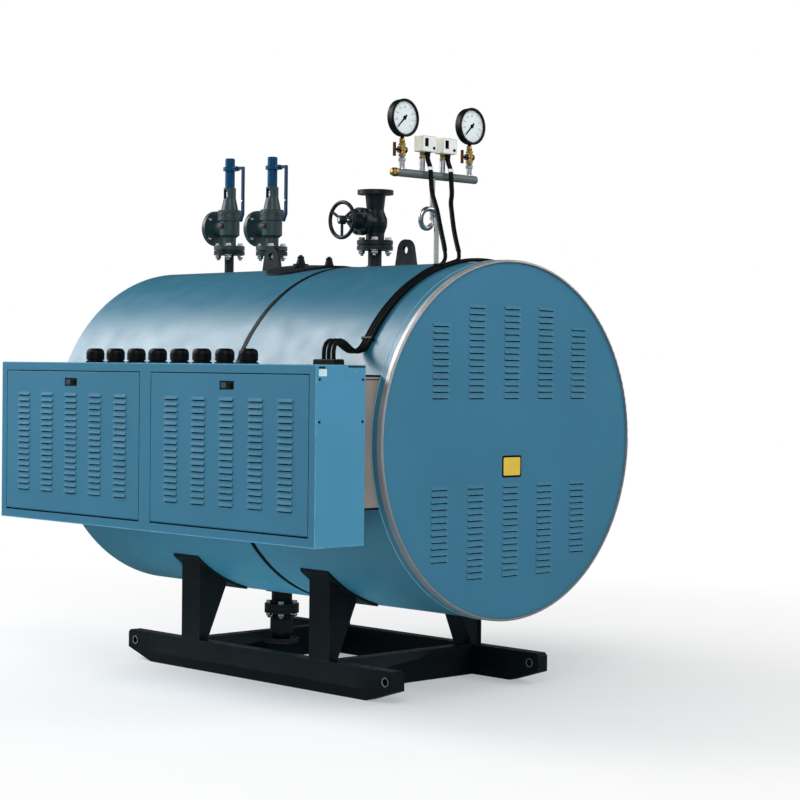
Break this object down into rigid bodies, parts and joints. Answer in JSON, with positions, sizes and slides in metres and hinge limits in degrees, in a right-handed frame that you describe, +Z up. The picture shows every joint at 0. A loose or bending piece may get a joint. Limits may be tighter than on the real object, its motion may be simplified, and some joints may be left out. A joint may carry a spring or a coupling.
{
  "type": "electric steam boiler",
  "caption": "Horizontal electric steam boiler: a jacketed drum on a skid with a louvred front cover, a side terminal box with drop-down doors, safety valves, stop valve and gauges.",
  "frame": {"origin": "on the floor, below the middle of the whole machine's box", "axes": "+Z up, +Y along the drum from the louvred front cover to the rear, the terminal box on the -X side"},
  "size_m": [1.703, 2.076, 2.3504],
  "materials": {
    "jacket_blue": "glossy metallic coating on sheet steel",
    "cover_blue": "semi-gloss paint",
    "door_blue": "semi-gloss paint",
    "box_blue": "semi-gloss paint",
    "trim_steel": "bright rolled edge",
    "band_black": "black joint band",
    "neck_grey": "matt grey paint",
    "gland_black": "moulded nylon",
    "cable_black": "rubber sheath",
    "valve_dark": "dark paint on a casting",
    "safety_grey": "grey paint on a casting",
    "cap_blue": "blue paint",
    "cock_brass": "turned brass",
    "pipe_steel": "plain steel",
    "nozzle_grey": "grey primer",
    "gauge_black": "black case",
    "switch_cream": "moulded housing",
    "manhole_dark": "dark paint",
    "lug_blue": "blue paint",
    "base_dark": "dark green-black paint"
  },
  "bodies": {
    "boiler": {"box_back": "box_blue", "box_bottom": "box_blue", "box_ends": "box_blue", "box_frame": "door_blue", "box_neck": "neck_grey", "box_top": "box_blue", "cable_block": "gland_black", "cable_glands": "gland_black", "cable_ties": "gland_black", "cross_members": "base_dark", "drain_nozzle": "base_dark", "drain_valve": "base_dark", "exit_block": "gland_black", "front_cover": "cover_blue", "front_legs": "base_dark", "front_trim": "trim_steel", "gauge_cocks": "cock_brass", "gauge_manifold": "pipe_steel", "gauge_siphon": "pipe_steel", "jacket_front": "jacket_blue", "jacket_rear": "jacket_blue", "level_cable": "cable_black", "lifting_lugs": "lug_blue", "manhole_clamps": "manhole_dark", "manhole_lid": "manhole_dark", "manhole_ring": "manhole_dark", "pressure_gauges": "gauge_black", "pressure_switches": "switch_cream", "rear_cover": "cover_blue", "rear_legs": "base_dark", "safety_body_front": "safety_grey", "safety_body_rear": "safety_grey", "safety_bonnet_front": "safety_grey", "safety_bonnet_rear": "safety_grey", "safety_cap_front": "cap_blue", "safety_cap_rear": "cap_blue", "seam_band": "band_black", "skid_noses": "base_dark", "skid_runners": "base_dark", "steam_valve_body": "valve_dark", "steam_valve_bonnet": "valve_dark", "switch_cable_left": "cable_black", "switch_cable_right": "cable_black", "valve_nozzles": "nozzle_grey"},
    "front_door": {"door_front": "door_blue"},
    "rear_door": {"door_rear": "door_blue"},
    "steam_stem": {"steam_valve_stem": "pipe_steel"},
    "handwheel": {"steam_valve_handwheel": "valve_dark"},
    "rear_lever": {"safety_lever_rear": "cap_blue"},
    "front_lever": {"safety_lever_front": "cap_blue"},
    "left_cock_handle": {"cock_handle_left": "cock_brass"},
    "right_cock_handle": {"cock_handle_right": "cock_brass"}
  },
  "joints": [
    {"name": "front_door_hinge", "type": "hinge", "parent": "boiler", "child": "front_door", "pos_m": [-0.8385, -0.5115, 0.6845], "axis": [0, -1, 0], "range_deg": [0, 110]},
    {"name": "rear_door_hinge", "type": "hinge", "parent": "boiler", "child": "rear_door", "pos_m": [-0.8385, 0.4895, 0.6845], "axis": [0, -1, 0], "range_deg": [0, 110]},
    {"name": "stem_slide", "type": "slide", "parent": "boiler", "child": "steam_stem", "axis": [-1, 0, 0], "range_m": [0, 0.025]},
    {"name": "handwheel_turn", "type": "hinge", "parent": "steam_stem", "child": "handwheel", "pos_m": [-0.0345, -0.248, 1.887], "axis": [-1, 0, 0], "range_deg": [0, 1800]},
    {"name": "rear_lever_pivot", "type": "hinge", "parent": "boiler", "child": "rear_lever", "pos_m": [0.2395, 0.766, 2.18], "axis": [-1, 0, 0], "range_deg": [0, 25]},
    {"name": "front_lever_pivot", "type": "hinge", "parent": "boiler", "child": "front_lever", "pos_m": [0.2395, 0.469, 2.168], "axis": [-1, 0, 0], "range_deg": [0, 25]},
    {"name": "left_cock_turn", "type": "hinge", "parent": "boiler", "child": "left_cock_handle", "pos_m": [-0.0415, -0.583, 2.1505], "axis": [-1, 0, 0], "range_deg": [0, 90]},
    {"name": "right_cock_turn", "type": "hinge", "parent": "boiler", "child": "right_cock_handle", "pos_m": [0.3415, -0.583, 2.1505], "axis": [-1, 0, 0], "range_deg": [0, 90]}
  ],
  "couplings": [
    {"joint": "stem_slide", "follows": "handwheel_turn", "m_per_rad": 0.00079577}
  ]
}
